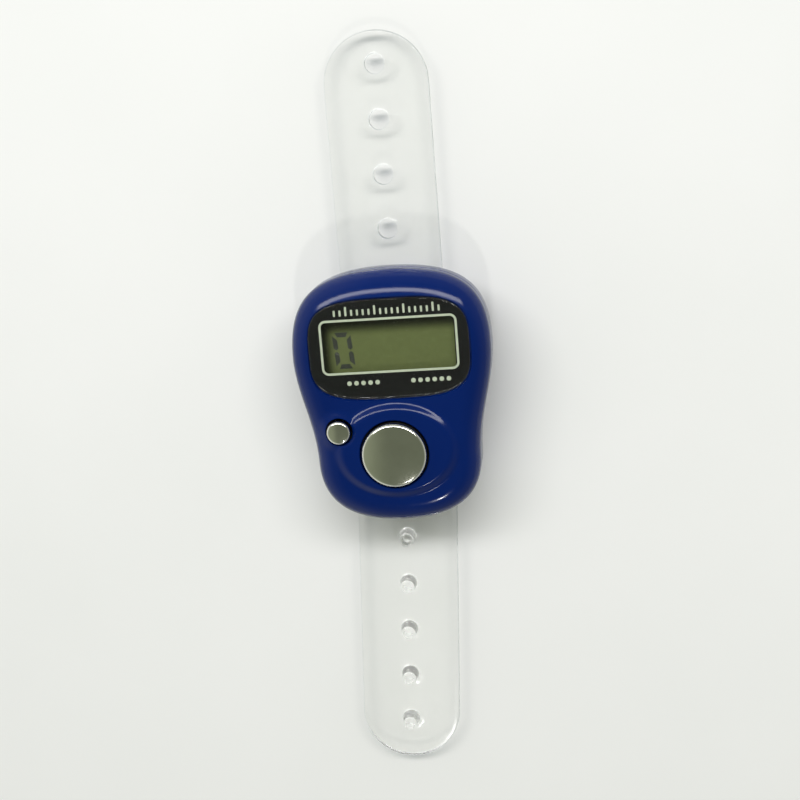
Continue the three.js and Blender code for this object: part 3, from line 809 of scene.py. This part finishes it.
def screw_cutters():
    """A stepped hole for each case screw: wide for its head, narrow for its shank."""
    cutters = []
    shank, chamfer = 1.0, 0.15
    bottom, ledge, top = BACK_Z - 1, BACK_Z + 1.5, PARTING_Z + 1
    for low, high in case_screws():
        head = (high.x - low.x) / 2 + 0.3
        profile = [(0, bottom), (head + chamfer, bottom), (head + chamfer, BACK_Z)]
        profile += [(head, BACK_Z + chamfer), (head, ledge), (shank, ledge)]
        profile += [(shank, top), (0, top)]
        cutters.append(lathe("cutter", (low + high) / 2, profile, 64))
    return cutters


# ---------------- window, print, display
def window_lens():
    """The clear window, with a fine bevel round its front."""
    rings = []
    for margin, z in (
        (-0.4, WINDOW_LOW.z),
        (-0.1, WINDOW_LOW.z),
        (0, WINDOW_LOW.z + 0.1),
        (0, WINDOW_HIGH.z - 0.16),
        (-0.05, WINDOW_HIGH.z - 0.05),
        (-0.16, WINDOW_HIGH.z),
        (-0.41, WINDOW_HIGH.z),
    ):
        outline = superellipse(WINDOW_CENTRE, WINDOW_SIZE.x + margin, WINDOW_SIZE.y + margin)
        rings.append(level(outline, z))
    return stack("window_lens", rings, 60)


def rounded_box(centre_x, centre_y, half_width, half_height, radius, steps=8):
    """A rectangle's outline with round corners."""
    points = []
    for quarter, (sx, sy) in enumerate(((1, 1), (-1, 1), (-1, -1), (1, -1))):
        corner_x = centre_x + sx * (half_width - radius)
        corner_y = centre_y + sy * (half_height - radius)
        for i in range(steps + 1):
            angle = math.pi / 2 * (quarter + i / steps)
            x, y = radius * math.cos(angle), radius * math.sin(angle)
            points.append((corner_x + x, corner_y + y))
    return points


def display_line(z0, z1):
    """The flat pale band round the display, between two rounded rectangles."""
    half_width, half_height, radius, width = 10.36, 3.98, 0.75, 0.35
    inner = rounded_box(DISPLAY_X, DISPLAY_Y, half_width, half_height, radius)
    outer = rounded_box(
        DISPLAY_X, DISPLAY_Y, half_width + width, half_height + width, radius + width
    )
    sides = ((inner, z0), (outer, z0), (outer, z1), (inner, z1), (inner, z0))
    bm = bmesh.new()
    skin(bm, [level(outline, z) for outline, z in sides])
    return finished("line", bm)


def joined(name, objects):
    """Several pieces as one mesh object."""
    bm = bmesh.new()
    for obj in objects:
        bm.from_mesh(obj.data)
        bpy.data.objects.remove(obj)
    mesh = bpy.data.meshes.new(name)
    bm.to_mesh(mesh)
    bm.free()
    return added(name, mesh)


def display_marks():
    """The pale line round the display, a tick scale above it and two rows of dots below it."""
    low, high = PRINT_HIGH.z - 0.01, PRINT_HIGH.z + 0.03
    pieces = [display_line(low, high)]
    for i in range(-9, 10):
        half_height = 0.725 if i % 5 == 3 else 0.475
        at_x, at_y = DISPLAY_X + i * 0.9, DISPLAY_Y + 4.85 + half_height
        outline = rounded_box(at_x, at_y, 0.16, half_height, 0.12, 3)
        pieces.append(prism("tick", outline, low, high))
    for start, count in ((-6.6, 5), (3.4, 6)):
        for i in range(count):
            at_x, at_y = DISPLAY_X + start + i * 1.1, DISPLAY_Y - 5.75
            outline = rounded_box(at_x, at_y, 0.36, 0.36, 0.35, 4)
            pieces.append(prism("dot", outline, low, high))
    return joined("window_marks", pieces)


def black_sheet():
    """The black print behind the window, out to its edge, with the display's opening."""
    low, high = PRINT_LOW.z, PRINT_HIGH.z
    outline = superellipse(WINDOW_CENTRE, WINDOW_SIZE.x - 0.04, WINDOW_SIZE.y - 0.04)
    sheet = prism("black_print", outline, low, high)
    opening = rounded_box(DISPLAY_X, DISPLAY_Y, 10.2, 4.0, 0.5)
    return carve(sheet, [prism("cutter", opening, low - 1, high + 1)])


def nought_bars():
    """Outlines of a seven-segment nought about its centre: every bar but the middle one."""
    w, h, t, gap = 1.12, 2.5, 0.36, 0.1  # half width, half height, half stroke, gap
    bars = []
    for side in (-1, 1):
        bars.append(
            [(-w + gap, side * (h + t)), (w - gap, side * (h + t)),
             (w - t - gap, side * (h - t)), (-w + t + gap, side * (h - t))]
        )
    for side in (-1, 1):
        for end in (-1, 1):
            bars.append(
                [(side * (w + t), end * (h - gap)), (side * (w - t), end * (h - 2 * t - gap)),
                 (side * (w - t), end * (2 * gap + 0.2)), (side * w, end * gap),
                 (side * (w + t), end * (2 * gap + 0.2))]
            )
    return bars


def count_digit():
    """The display's nought, near the display's left end, leaning slightly."""
    centre_x, centre_y = POLARISER_LOW.x + 3.25, DISPLAY_Y - 0.7
    lean = -0.075
    z0, z1 = POLARISER_HIGH.z - 0.01, POLARISER_HIGH.z + 0.02
    pieces = []
    for bar in nought_bars():
        outline = [(centre_x + x + y * lean, centre_y + y) for x, y in bar]
        pieces.append(prism("bar", outline, z0, z1))
    return joined("count_digit", pieces)


# ---------------- keys
def key(name, node, radius, top, edge, crown):
    """A plated key: a round head with a soft edge, over a wider flange inside the case."""
    low, high = box_mm(node)
    flange = (high.x - low.x) / 2
    flange_top = low.z + 0.8
    chamfer = 0.1
    profile = [(0, low.z), (flange - chamfer, low.z), (flange, low.z + chamfer)]
    profile += [(flange, flange_top - chamfer), (flange - chamfer, flange_top)]
    corner = top - crown - edge
    profile += [(radius, flange_top), (radius, flange_top + chamfer)]
    profile += [(radius, (flange_top + corner) / 2)]
    profile += arc((radius - edge, corner), edge, 0, 84, 10)
    face, height = profile[-1]
    for i in range(1, 13):
        share = 1 - i / 12
        profile.append((face * share, height + (top - height) * (1 - share**2)))
    return lathe(name, (low + high) / 2, profile, 128)


def plated(obj, body, node):
    """Chrome on the key's head; the skirt inside the case is painted dark, as painted shade for the
    narrow gap round the head.
    """
    dress(obj, "chrome", body, "chrome_key", node)
    obj.data.materials.append(MATERIALS["skirt"])
    # faces below this height take the painted shade
    painted_shade_top = box_mm(node)[1].z - 1.5
    for face in obj.data.polygons:
        if face.center.z / MM < painted_shade_top:
            face.material_index = 1


# ---------------- strap
HALF_STRAP = (STRAP_HIGH.x - STRAP_LOW.x) / 2 - 0.02
STRAP_END = CAD_BOX[1][1] / MM
EDGE = 0.34  # radius of the strap's rounded edges
KINK_Y = -9.5
KINK = math.radians(3.3)
KINK_LENGTH = 6.0
HOLES = [STRAP_END - 5.1 - 8.5 * i for i in range(4)]
HOLE_RADIUS, HOLE_FLARE = 1.55, 0.7
PEGS = [-(STRAP_END - 7.2 - 8.1 * i) for i in range(5)]
PEG_ROOT = 1.85
PEG_PROFILE = [  # radius and height above the strap: the side, the rim, then the dimpled tip
    (1.63, 0.05), (1.5, 0.16), (1.43, 0.34), (1.4, 0.55), (1.3, 1.2), (1.21, 1.9), (1.17, 2.2),
    (1.13, 2.36), (1.04, 2.46), (0.93, 2.5), (0.82, 2.47), (0.73, 2.38), (0.55, 2.13), (0.35, 1.86),
    (0.17, 1.69), (0.02, 1.63),
]
RIB_START, RIB_END, RIB_FADE = -14, -57, 3
RIB_HEIGHT, RIB_HALF_WIDTH, RIB_SLOPE = 0.07, 1.7, 0.7
SEAMS = (34.15, 4.5, KINK_Y - 15.45)  # where the strap's four pieces meet
SEAM_SLOT, EDGE_SLOT = 1, 2  # material slots of the caps and of the upright edges
FILL_COLUMNS = (0, 1.0, 1.7, 2.6, 3.8, 5.0, 6.2, HALF_STRAP - 0.9)
FILL_ROWS, FILL_PITCH = 160, 0.37
SPARSE_FROM = 5  # from this column outwards only every second row has a point


def stadium(radius, length, rows=140, turns=40):
    """The strap's outline, anticlockwise, with matching points at every inset."""
    straight = length - HALF_STRAP
    points = [(radius, -straight + 2 * straight * i / rows) for i in range(rows)]
    for i in range(turns):
        angle = math.pi * i / turns
        points.append((radius * math.cos(angle), straight + radius * math.sin(angle)))
    return points + [(-x, -y) for x, y in points]


def circle(at, radius, steps=40):
    """A circle on the strap's centre line."""
    angles = [2 * math.pi * i / steps for i in range(steps)]
    return [(radius * math.cos(angle), at + radius * math.sin(angle)) for angle in angles]


def past_end(x, y, reach):
    """Whether a point lies past a strap end's half circle, drawn with this radius."""
    beyond = abs(y) - (STRAP_END - HALF_STRAP)
    return beyond > 0 and math.hypot(x, beyond) > reach


def filler_points(circles):
    """Points inside the strap's face, clear of its edge and of every circle."""
    points = []
    for row in range(-FILL_ROWS, FILL_ROWS + 1):
        y = row * FILL_PITCH
        for i, column in enumerate(FILL_COLUMNS):
            if i >= SPARSE_FROM and row % 2:
                continue
            for x in ((-column, column) if column else (0,)):
                crowded = any(math.hypot(x, y - at) < radius + 0.3 for at, radius in circles)
                if not crowded and not past_end(x, y, FILL_COLUMNS[-1]):
                    points.append((x, y))
    return points


def flat_face(bm, z, loops, circles):
    """Triangulates one face of the strap inside its edge loop and outside its circles."""
    points, verts, edges = [], [], []
    for loop in loops:
        first = len(points)
        points += [Vector(v.co.xy) for v in loop]
        verts += loop
        edges += [(first + i, first + (i + 1) % len(loop)) for i in range(len(loop))]
    for x, y in filler_points(circles):
        points.append(Vector((x, y)))
        verts.append(bm.verts.new((x, y, z)))
    found, _, triangles, origins, _, _ = delaunay_2d_cdt(points, edges, [], 0, 1e-6)
    lookup = [verts[origin[0]] for origin in origins]
    for triangle in triangles:
        centre = sum((found[i] for i in triangle), Vector((0, 0))) / 3
        in_circle = any(
            math.hypot(centre.x, centre.y - at) < radius - 0.01 for at, radius in circles
        )
        if not in_circle and not past_end(centre.x, centre.y, HALF_STRAP):
            bm.faces.new([lookup[i] for i in triangle])


def strap_profile():
    """How far in and how high the strap's side runs: a rounded edge, the side, another edge."""
    rounds = []
    for degrees in (90, 72, 54, 36, 18, 0):
        angle = math.radians(degrees)
        rounds.append((EDGE * (1 - math.cos(angle)), EDGE * (1 - math.sin(angle))))
    upper = [(depth, STRAP_TOP - drop) for depth, drop in rounds]
    return upper + [(depth, STRAP_BOTTOM + drop) for depth, drop in rounds[::-1]]


def strap_hole(bm, at, profile):
    """The wall of a hole through the strap, wider at both mouths."""
    loops = [level(circle(at, HOLE_RADIUS + HOLE_FLARE * depth), z) for depth, z in profile]
    return skin(bm, loops)


def strap_peg(bm, at):
    """A peg on the strap's top."""
    loops = [level(circle(at, PEG_ROOT), STRAP_TOP)]
    loops += [level(circle(at, radius), STRAP_TOP + z) for radius, z in PEG_PROFILE]
    rows = skin(bm, loops)
    bm.faces.new(rows[-1])
    return rows


def strap_solid():
    """The whole strap, straight, as one closed bmesh in millimetres."""
    bm = bmesh.new()
    profile = strap_profile()
    rows = skin(bm, [level(stadium(HALF_STRAP - depth, STRAP_END), z) for depth, z in profile])
    hole_rows = [strap_hole(bm, at, profile) for at in HOLES]
    peg_rows = [strap_peg(bm, at) for at in PEGS]
    holes = [(at, HOLE_RADIUS + HOLE_FLARE * EDGE) for at in HOLES]
    pegs = [(at, PEG_ROOT) for at in PEGS]
    top_loops = [wall[0] for wall in [rows] + hole_rows + peg_rows]
    flat_face(bm, STRAP_TOP, top_loops, holes + pegs)
    flat_face(bm, STRAP_BOTTOM, [wall[-1] for wall in [rows] + hole_rows], holes)
    bmesh.ops.recalc_face_normals(bm, faces=bm.faces)
    return bm


def shaped(x, y, z):
    """Strap detail and its bend: a low rib through the pegs, then the kink in the peg end."""
    if z > STRAP_TOP - 0.01:
        along = smoothstep((RIB_START - y) / RIB_FADE) * smoothstep((y - RIB_END) / RIB_FADE)
        z += RIB_HEIGHT * smoothstep((RIB_HALF_WIDTH - abs(x)) / RIB_SLOPE) * along
    run = KINK_Y - y
    if run <= -KINK_LENGTH / 2:
        return Vector((x, y, z))
    turned = KINK * min(run / KINK_LENGTH + 0.5, 1)
    if run >= KINK_LENGTH / 2:
        middle_x, middle_y = -run * math.sin(KINK), KINK_Y - run * math.cos(KINK)
    else:
        radius = KINK_LENGTH / KINK
        middle_x = -radius * (1 - math.cos(turned))
        middle_y = KINK_Y + KINK_LENGTH / 2 - radius * math.sin(turned)
    return Vector((middle_x + x * math.cos(turned), middle_y - x * math.sin(turned), z))


def strap_piece(whole, name, upper, lower):
    """The stretch of strap between two seams, closed at each seam by a clear cap."""
    bm = whole.copy()
    for at, side in ((upper, 1), (lower, -1)):
        if at is None:
            continue
        geometry = bm.verts[:] + bm.edges[:] + bm.faces[:]
        bmesh.ops.bisect_plane(
            bm, geom=geometry, plane_co=(0, at, 0), plane_no=(0, side, 0), clear_outer=True
        )
        border = [e for e in bm.edges if e.is_boundary]
        for face in bmesh.ops.contextual_create(bm, geom=border)["faces"]:
            face.material_index = SEAM_SLOT
    bmesh.ops.recalc_face_normals(bm, faces=bm.faces)
    for face in bm.faces:
        upright = abs(face.normal.z) < 0.8 and face.calc_center_median().z < STRAP_TOP
        if upright and face.material_index != SEAM_SLOT:
            face.material_index = EDGE_SLOT
    for vertex in bm.verts:
        vertex.co = shaped(*vertex.co)
    obj = finished(name, bm, 50)
    for material in ("vinyl", "seam", "vinyl_edge"):
        obj.data.materials.append(MATERIALS[material])
    return obj


def along_peg_end(distance):
    """A point on the strap's centre line, so far from the kink towards the peg tip."""
    return shaped(0, KINK_Y - distance, (STRAP_TOP + STRAP_BOTTOM) / 2) * MM


# ---------------- CAD nodes that stay
FINISHES = {
    "olive": ["lcd_front_polariser"],
    "lcd_glass": ["lcd_rear_glass", "lcd_front_glass"],
    "reflector": ["lcd_rear_reflector"],
    "foam": ["lcd_foam_pad"],
    "zebra": ["zebra_connector"],
    "board": ["circuit_board"],
    "epoxy": ["chip_blob"],
    "ceramic": ["board_capacitor"],
    "resistor": ["board_resistor"],
    "nylon": ["battery_gasket"],
    "cell_steel": ["battery_can", "battery_cap"],
    "spring": ["positive_contact", "negative_contact"],
    "screw": CASE_SCREWS + ["board_screw_1", "board_screw_2"],
    "blue": ["battery_door"],
}
SOFT_EDGES = ["battery_door"] + CASE_SCREWS


def squashed(node, material):
    """A copy of a soft CAD part under a key, in its own material and in place of the CAD part."""
    original = frame["nodes"][node]
    mesh = original.data.copy()
    mesh.transform(original.matrix_world)
    obj = added(node + "_soft", mesh)
    dress(obj, material, "case", material, node)
    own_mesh(obj)


def soft_domes():
    """Copies of the domes and contact pills, the soft parts that flatten when a key is pressed."""
    for prefix in ("count", "reset"):
        squashed(f"{prefix}_dome", "silicone")
        squashed(f"{prefix}_contact_pill", "carbon")


def finish_cad_nodes():
    """Materials for the CAD nodes that are kept, and soft edges on the case screws and the battery
    door.
    """
    for finish, nodes in FINISHES.items():
        for node in nodes:
            materials = frame["nodes"][node].data.materials
            materials.clear()
            materials.append(MATERIALS[finish])
    for node in SOFT_EDGES:
        bevel = frame["nodes"][node].modifiers.new("soft_edge", "BEVEL")
        bevel.width = 0.1 * MM
        bevel.segments = 2
        bevel.limit_method = "ANGLE"
        bevel.angle_limit = math.radians(40)


# ---------------- the object
dress(front_shell(), "blue", "case", "blue_case", "front_case")
dress(rear_shell(), "blue", "case", "blue_case", "rear_case")
dress(window_lens(), "acrylic", "case", "window_black", "display_window")
dress(black_sheet(), "print_black", "case", "print_black", "window_print")
dress(display_marks(), "print_pale", "case", "print_black")
dress(count_digit(), "segment", "case", "lcd_film")

count_key = key("count_key", "count_button", COUNT_RADIUS, COUNT_TOP, 0.6, 0.3)
plated(count_key, "count_button", "count_button")
reset_key = key("reset_key", "reset_button", RESET_RADIUS, RESET_TOP, 0.45, 0.12)
plated(reset_key, "reset_button", "reset_button")

whole_strap = strap_solid()
hole_span = strap_piece(whole_strap, "strap_hole_span", SEAMS[0], SEAMS[1])
hole_tip = strap_piece(whole_strap, "strap_hole_tip", None, SEAMS[0])
peg_span = strap_piece(whole_strap, "strap_peg_span", SEAMS[1], SEAMS[2])
peg_tip = strap_piece(whole_strap, "strap_peg_tip", SEAMS[2], None)
whole_strap.free()
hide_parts("strap_middle", "strap_hole_inner")
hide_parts("strap_hole_outer")
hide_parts("strap_peg_inner")
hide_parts("strap_peg_outer")
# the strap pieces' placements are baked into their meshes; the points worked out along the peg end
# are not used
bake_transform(hole_span)
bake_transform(hole_tip)
along_peg_end(2.4)
along_peg_end(12.4)
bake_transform(peg_span)
along_peg_end(18.6)
along_peg_end(28.6)
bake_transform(peg_tip)

soft_domes()
finish_cad_nodes()


# ---------------- floor, lights, camera
def floor():
    """A pale card, wide enough to fill the view."""
    bm = bmesh.new()
    bmesh.ops.create_grid(bm, x_segments=2, y_segments=2, size=1500)
    obj = finished("floor", bm)
    paint = Paint("floor_card", (0.87, 0.875, 0.868), 0.6)
    paint.tint(paint.noise(0.02, 4), (0.855, 0.862, 0.853), (0.885, 0.888, 0.883))
    paint.rough(paint.noise(1.0, 4), 0.5, 0.7)
    paint.bump(paint.noise(2.0, 5), 0.02, 0.3)
    obj.data.materials.append(paint.material)


def lamp(name, azimuth, elevation, distance, width, height, watts, color):
    """An area light aimed at the case. Azimuth is clockwise from +Y, seen from above."""
    data = bpy.data.lights.new(name, "AREA")
    data.shape = "RECTANGLE"
    data.size, data.size_y = width, height
    data.energy = watts
    data.color = color
    obj = added(name, data)
    turn, rise = math.radians(azimuth), math.radians(elevation)
    across = math.cos(rise)
    away = Vector((math.sin(turn) * across, math.cos(turn) * across, math.sin(rise)))
    obj.location = away * distance
    obj.rotation_euler = away.to_track_quat("Z", "Y").to_euler()


def camera():
    """Nearly overhead, from slightly north and east of the case, and turned a little."""
    target = Vector((CASE_X, CASE_Y, 7)) * MM
    east, north = math.sin(math.radians(7)), math.sin(math.radians(12.5))
    back = Vector((east, north, math.sqrt(1 - east**2 - north**2)))
    level_up = (Vector((0, 1, 0)) - back * back.y).normalized()
    up = Matrix.Rotation(math.radians(-4.6), 3, back) @ level_up
    right = up.cross(back)
    shift_right, shift_down = 0.4762, 1.3333  # the case stands this far off the view's centre
    aim = target + (right * shift_right - up * shift_down) * MM
    distance = 0.23
    data = bpy.data.cameras.new("camera")
    data.sensor_width = 36
    data.lens = 65.2
    data.clip_start = 0.01
    obj = added("camera", data)
    turn = Matrix((right, up, back)).transposed().to_4x4()
    obj.matrix_world = Matrix.Translation(aim + back * distance) @ turn
    bpy.context.scene.camera = obj


def world():
    """A plain studio: dark overhead, pale low down, and brighter towards the west."""
    made = bpy.data.worlds.new("studio")
    made.use_nodes = True
    tree = made.node_tree
    where = tree.nodes.new("ShaderNodeTexCoord")
    axes = tree.nodes.new("ShaderNodeSeparateXYZ")
    tree.links.new(where.outputs["Generated"], axes.inputs["Vector"])
    shades = []
    for axis, start, end, low, high in (
        ("Z", 0.88, 0.15, (0.143, 0.158, 0.117, 1), (0.43, 0.44, 0.43, 1)),
        ("X", -0.15, -0.42, (1, 1, 1, 1), (1.75, 1.75, 1.7, 1)),
    ):
        mix = tree.nodes.new("ShaderNodeMix")
        mix.data_type = "RGBA"
        mix.inputs[COLOR_A].default_value = low
        mix.inputs[COLOR_B].default_value = high
        tree.links.new(smooth_range(tree, axes.outputs[axis], start, end), mix.inputs["Factor"])
        shades.append(mix.outputs[COLOR_RESULT])
    tree.links.new(multiplied(tree, *shades), tree.nodes["Background"].inputs["Color"])
    bpy.context.scene.world = made


floor()
lamp("north_window", -1, 55, 0.6, width=1.0, height=0.12, watts=3.95, color=(1.0, 0.99, 1.0))
lamp("south_lamp", 176, 55, 0.7, width=0.028, height=0.04, watts=0.45, color=(1.0, 0.98, 0.96))
camera()
world()
bpy.context.scene.view_settings.view_transform = "Standard"
bpy.context.scene.view_settings.look = "None"
